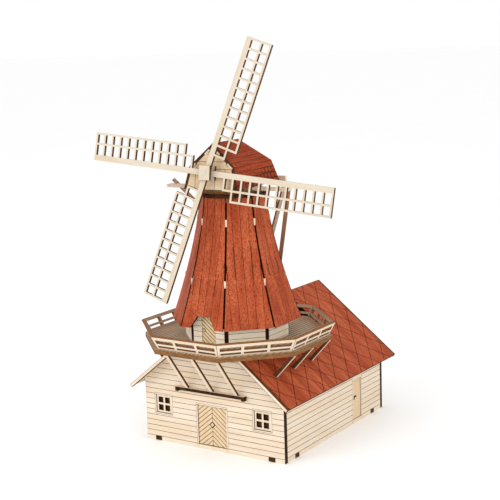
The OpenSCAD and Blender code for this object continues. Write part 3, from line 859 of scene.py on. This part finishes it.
class WINDMILL_OT_gallery(WindmillOperator):
    """Engrave the deck's planks and finish the rails"""
    bl_idname = "windmill.gallery"
    bl_label = "Gallery"

    plank_lift = 0.05 * MM
    sides = ("front", "front_right", "right", "rear_right", "rear", "rear_left", "left", "front_left")

    def make(self):
        z = sizes()
        planks = flat_skin("gallery_deck", UP)
        score(planks, RIGHT, z.plank, 0.0, z.plank_line)
        cover("gallery_deck", "gallery_planks", planks, self.plank_lift,
              bare_wood("plank_wood", REAR, UP, "deck", rim=None),
              bare_wood("deck_sheet_wood", REAR, UP, scored=UP, dark=0.12, rim="caramel", groove="edge"))
        for k, name in enumerate(self.sides):
            node = "rail_" + name
            level, along = on_side(k, FRONT), on_side(k, RIGHT)
            out = Matrix.Rotation(-self.lean(node, level), 3, along) @ level
            finish_node(node, bare_wood(node + "_wood", along, out, dark=0.08, spread=0.7,
                                        rim="caramel", back="deck"))

    def lean(self, node, out):
        """Angle by which a rail leans outwards, read from its largest face."""
        outer = [p for p in frame["nodes"][node].data.polygons if p.normal.dot(out) > 0.8]
        face = max(outer, key=lambda p: p.area)
        return math.asin(max(-1.0, min(1.0, face.normal.z)))


class WINDMILL_OT_tower(WindmillOperator):
    """Board the tower's base and engrave its red panels"""
    bl_idname = "windmill.tower"
    bl_label = "Tower"

    panel_lift = 0.12 * MM
    tab_width = 1.1 * MM
    tab_depth = 0.9 * MM
    tab_over = 1.4 * MM         # how much taller a tab's end is than its frame

    def make(self):
        self.base()
        self.panels()
        for node in ("tower_frame_lower", "tower_frame_upper"):
            self.tabs(node)

    def base(self):
        """Level boards round the octagonal base."""
        z = sizes()
        boards = skin_of("tower_base_walls", outward_level)
        score(boards, UP, z.tower_board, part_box("gallery_deck")[1][2] + z.tower_board_start)
        # painted light: the base boards take a colour paler than birch, offsetting the flared panels' shade
        # on them
        cover("tower_base_walls", "tower_base_boards", boards, z.groove_depth,
              bare_wood("base_board_wood", RIGHT, FRONT, "base", rim=None),
              mottled_wood("base_sheet_wood", (0.3, 0.3, 2), "score", "edge", grain=RIGHT))

    def panels(self):
        """Upright boards on each side of the red tower."""
        z = sizes()
        stain = stained_wood("panel_wood", UP)
        along = (0.2, 1, 1)
        sheet = mottled_wood("panel_sheet_wood", along, "stain_dark", "char", bump=along)
        for node in ("tower_panels", "tower_panel_front", "tower_panel_rear"):
            panels = skin_of(node, outward_level)
            for k in sorted({octant(f.calc_center_median()) for f in panels.faces}):
                score(panels, on_side(k, RIGHT), z.panel_board, 0.0, z.panel_line,
                      lambda centre, k=k: octant(centre) == k)
            cover(node, node + "_boards", panels, self.panel_lift, stain, sheet)

    def tabs(self, node):
        """Pale tab ends of an inner frame, which show in the open joints between the panels."""
        low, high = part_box(node)
        reach = high[0] / math.cos(EIGHTH / 2)
        half = Vector((self.tab_width, self.tab_depth, high[2] - low[2] + self.tab_over)) / 2
        tabs = bmesh.new()
        for k in range(8):
            turn = Matrix.Rotation((k + 0.5) * EIGHTH, 3, "Z")
            middle = turn @ Vector((0, -reach, (low[2] + high[2]) / 2))
            stick(tabs, middle - half, middle + half, turn)
        add_piece(node + "_tabs", tabs, bare_wood(node + "_tab_wood", UP, FRONT, rim=None), node)


class WINDMILL_OT_cap(WindmillOperator):
    """Tile the cap's roof and board its gable and rear wall"""
    bl_idname = "windmill.cap"
    bl_label = "Cap"

    split_rise = 1.9 * MM       # level joint of the gable over the hub
    upright_start = 2.9 * MM
    tab_slope = math.radians(42.2)
    tab_places = ((13.2, 184.2), (3.6, 192.8))      # millimetres from the middle, and height
    tab_half = Vector((2.3, 0.34, 0.6)) * MM
    rim_half = Vector((2.7, 0.24, 1.0)) * MM

    def make(self):
        for node in ("cap_roof_left", "cap_roof_right", "cap_side_left", "cap_side_right", "cap_rear_slope"):
            self.tiles(node)
        self.gable()
        self.rear_wall()

    def tiles(self, node):
        """Rows of tiles, every other row shifted by half a tile."""
        z = sizes()
        out = self.outside(node)
        level = UP.cross(out).normalized()
        down = level.cross(out).normalized()
        skin = flat_skin(node, out)
        top = min(v.co.dot(down) for v in skin.verts)
        rows = math.ceil((max(v.co.dot(down) for v in skin.verts) - top) / z.tile_row)
        score(skin, down, z.tile_row, top)
        for row in range(rows):
            start = top + row * z.tile_row
            score(skin, level, z.tile, (row % 2) * z.tile / 2, z.tile_line,
                  lambda centre, start=start: start < centre.dot(down) < start + z.tile_row)
        # painted shade: the cap's tiles and sheet use the red stain darkened for the shade on the cap
        cover(node, node + "_tiles", skin, z.groove_depth / 2,
              stained_wood(node + "_tile_wood", level, out, base="cap_stain"),
              stained_wood(node + "_sheet", level, out, scored=out, base="cap_stain"))

    def gable(self):
        """Level boards over the hub and upright ones under it."""
        z = sizes()
        out = self.outside("cap_front_gable")
        boards = flat_skin("cap_front_gable", out)
        split = joint("rotor_spin")["pos_m"][2] + self.split_rise
        score(boards, UP, SINGLE, split)
        score(boards, UP, z.gable_board, split, None, lambda centre: centre.z > split)
        score(boards, CAP_RIGHT, z.gable_upright, self.upright_start, None, lambda centre: centre.z < split)
        cover("cap_front_gable", "cap_front_gable_boards", boards, z.groove_depth,
              bare_wood("gable_board_wood", CAP_RIGHT, out, "door", dark=0.2),
              bare_wood("gable_sheet", CAP_RIGHT, out, scored=out, dark=0.6))
        self.tabs(out)

    def rear_wall(self):
        """Level boards on the cap's rear."""
        z = sizes()
        out = self.outside("cap_rear_wall")
        boards = flat_skin("cap_rear_wall", out)
        score(boards, UP, z.tower_board, joint("rotor_spin")["pos_m"][2])
        cover("cap_rear_wall", "cap_rear_wall_boards", boards, z.groove_depth,
              bare_wood("rear_board_wood", CAP_RIGHT, out, dark=0.2),
              bare_wood("rear_sheet", CAP_RIGHT, out, scored=out, dark=0.6))

    def outside(self, node):
        """Direction of a cap sheet's outer face: its largest face that looks away from the cap's middle."""
        low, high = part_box("cap_turntable")
        middle = (Vector(low) + Vector(high)) / 2
        mesh = frame["nodes"][node].data
        away = [p for p in mesh.polygons if p.normal.dot(p.center - middle) > 0]
        return max(away, key=lambda p: p.area).normal.copy()

    def tabs(self, out):
        """Ends of the roof sheets' tabs, which show on the gable as pale blocks with burnt rims."""
        plane = max(v.co.dot(out) for v in frame["nodes"]["cap_front_gable"].data.vertices)
        upright = Matrix((CAP_RIGHT, -out, UP)).transposed()
        tabs, rims = bmesh.new(), bmesh.new()
        for side in (-1, 1):
            turn = upright @ Matrix.Rotation(side * self.tab_slope, 3, "Y")
            for x, height in self.tab_places:
                place = CAP_RIGHT * (side * x * MM) + UP * (height * MM)
                place += CAP_FRONT * ((plane - place.dot(out)) / CAP_FRONT.dot(out))
                for bm, half in ((rims, self.rim_half), (tabs, self.tab_half)):
                    stick(bm, place - half, place + half, turn)
        burnt_rim = burnt_wood("tab_rims", 0.2, 0.7, CAP_RIGHT, UP)
        ends = mottled_wood("tab_ends", (0.3, 0.3, 1.6), "birch", "caramel", 0.7, CAP_RIGHT, UP, 0.3)
        add_piece("cap_gable_tab_rims", rims, burnt_rim, "cap_front_gable")
        add_piece("cap_gable_tabs", tabs, ends, "cap_front_gable")


class WINDMILL_OT_stage(WindmillOperator):
    """Add the floor, the studio light and the camera"""
    bl_idname = "windmill.stage"
    bl_label = "Stage"

    place = Vector((423.8, -625.2, 258.6)) * MM
    azimuth = math.radians(33.37)
    pitch = math.radians(9.92)
    roll = math.radians(-1.80)
    lens = 84.74
    sensor = 36.0
    nearest = 0.01
    lamps = {"key_light": ((-0.55, -1.10, 0.70), 5.6), "fill_light": ((1.10, -0.70, 0.32), 5.2)}
    lamp_size = 0.9
    lamp_aim = Vector((0, 0, 0.1))
    floor_half = 30

    def make(self):
        scene = bpy.context.scene
        scene.view_settings.view_transform = "Standard"
        scene.view_settings.look = "None"
        self.floor()
        for name, (place, power) in self.lamps.items():
            self.light(name, place, power)
        world = bpy.data.worlds.new("studio")
        world.use_nodes = True
        sky = world.node_tree.nodes["Background"].inputs
        sky["Color"].default_value = (1, 1, 1, 1)
        sky["Strength"].default_value = 1.0
        scene.world = world
        self.camera()

    def floor(self):
        """A wide level sheet under the model."""
        bm = bmesh.new()
        bmesh.ops.create_grid(bm, x_segments=1, y_segments=1, size=self.floor_half)
        show_mesh("studio_floor", bm, floor_paint("floor_paint"))

    def light(self, name, place, power):
        """A soft square lamp aimed at the barn."""
        lamp = bpy.data.lights.new(name, "AREA")
        lamp.size = self.lamp_size
        lamp.energy = power
        shown = show(name, lamp)
        shown.location = place
        aim = self.lamp_aim - Vector(place)
        shown.rotation_euler = aim.to_track_quat("-Z", "Y").to_euler()

    def camera(self):
        """Looks from the right front, a little from above."""
        lens = bpy.data.cameras.new("camera")
        lens.sensor_width = self.sensor
        lens.lens = self.lens
        lens.clip_start = self.nearest
        camera = show("camera", lens)
        look = Vector((-math.sin(self.azimuth) * math.cos(self.pitch),
                       math.cos(self.azimuth) * math.cos(self.pitch), -math.sin(self.pitch)))
        right = Vector((math.cos(self.azimuth), math.sin(self.azimuth), 0))
        up = right.cross(look)
        tilt_right = right * math.cos(self.roll) + up * math.sin(self.roll)
        tilt_up = up * math.cos(self.roll) - right * math.sin(self.roll)
        camera.matrix_world = Matrix.Translation(self.place) @ Matrix(
            (tilt_right, tilt_up, -look)).transposed().to_4x4()
        bpy.context.scene.camera = camera


OPERATORS = (WINDMILL_OT_stage, WINDMILL_OT_bare_sheets, WINDMILL_OT_beams, WINDMILL_OT_sails,
             WINDMILL_OT_walls, WINDMILL_OT_trim, WINDMILL_OT_doors, WINDMILL_OT_barn_roof,
             WINDMILL_OT_barge_boards, WINDMILL_OT_gallery, WINDMILL_OT_tower, WINDMILL_OT_cap)


class WINDMILL_PT_panel(bpy.types.Panel):
    """Lists the windmill's pieces, sizes and colours"""
    bl_idname = "WINDMILL_PT_panel"
    bl_label = "Windmill"
    bl_space_type = "VIEW_3D"
    bl_region_type = "UI"
    bl_category = "Windmill"

    def draw(self, context):
        for group in (context.scene.windmill_sizes, context.scene.windmill_colours):
            for name in group.bl_rna.properties.keys():
                if name not in ("rna_type", "name"):
                    self.layout.prop(group, name)
        for operator in OPERATORS:
            self.layout.operator(operator.bl_idname)


CLASSES = (WindmillSizes, WindmillColours, *OPERATORS, WINDMILL_PT_panel)


def register():
    for cls in CLASSES:
        bpy.utils.register_class(cls)
    bpy.types.Scene.windmill_sizes = bpy.props.PointerProperty(type=WindmillSizes)
    bpy.types.Scene.windmill_colours = bpy.props.PointerProperty(type=WindmillColours)


def unregister():
    del bpy.types.Scene.windmill_colours
    del bpy.types.Scene.windmill_sizes
    for cls in reversed(CLASSES):
        bpy.utils.unregister_class(cls)


def main():
    """Makes everything in order."""
    register()
    for operator in OPERATORS:
        group, name = operator.bl_idname.split(".")
        getattr(getattr(bpy.ops, group), name)()


if __name__ == "__main__":
    main()
